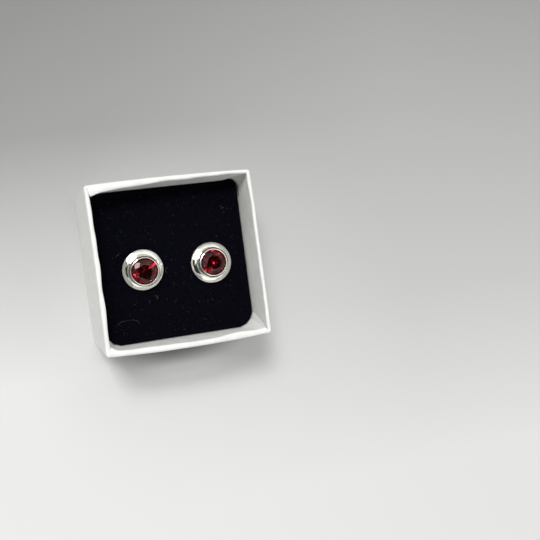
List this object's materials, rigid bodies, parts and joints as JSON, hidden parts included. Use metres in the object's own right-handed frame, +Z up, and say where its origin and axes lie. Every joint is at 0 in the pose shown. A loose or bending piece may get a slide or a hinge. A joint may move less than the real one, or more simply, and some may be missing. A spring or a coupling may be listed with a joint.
{
  "type": "pair of round stud earrings in an open gift box",
  "caption": "Open square gift box tray with a black flocked foam pad that holds a pair of round stud earrings, each a domed silver flange and bezel around a faceted dark red stone.",
  "frame": {"origin": "middle of the underside of the box tray, on the surface that it stands on", "axes": "+Z up, out of the open top of the box; +X to the right and +Y to the far side, seen by someone who looks down into the box with the studs side by side"},
  "size_m": [0.0422, 0.0426, 0.038],
  "materials": {
    "white_board": "matt white paper with a fine grain",
    "black_flock": "short flocked nap with a little lint",
    "polished_silver": "polished, with fine hand-finishing marks",
    "dark_red_stone": "polished facets, transparent"
  },
  "bodies": {
    "root": {"box_tray": "white_board", "flocked_pad": "black_flock", "setting_left": "polished_silver", "setting_right": "polished_silver", "stone_left": "dark_red_stone", "stone_right": "dark_red_stone"}
  },
  "joints": []
}
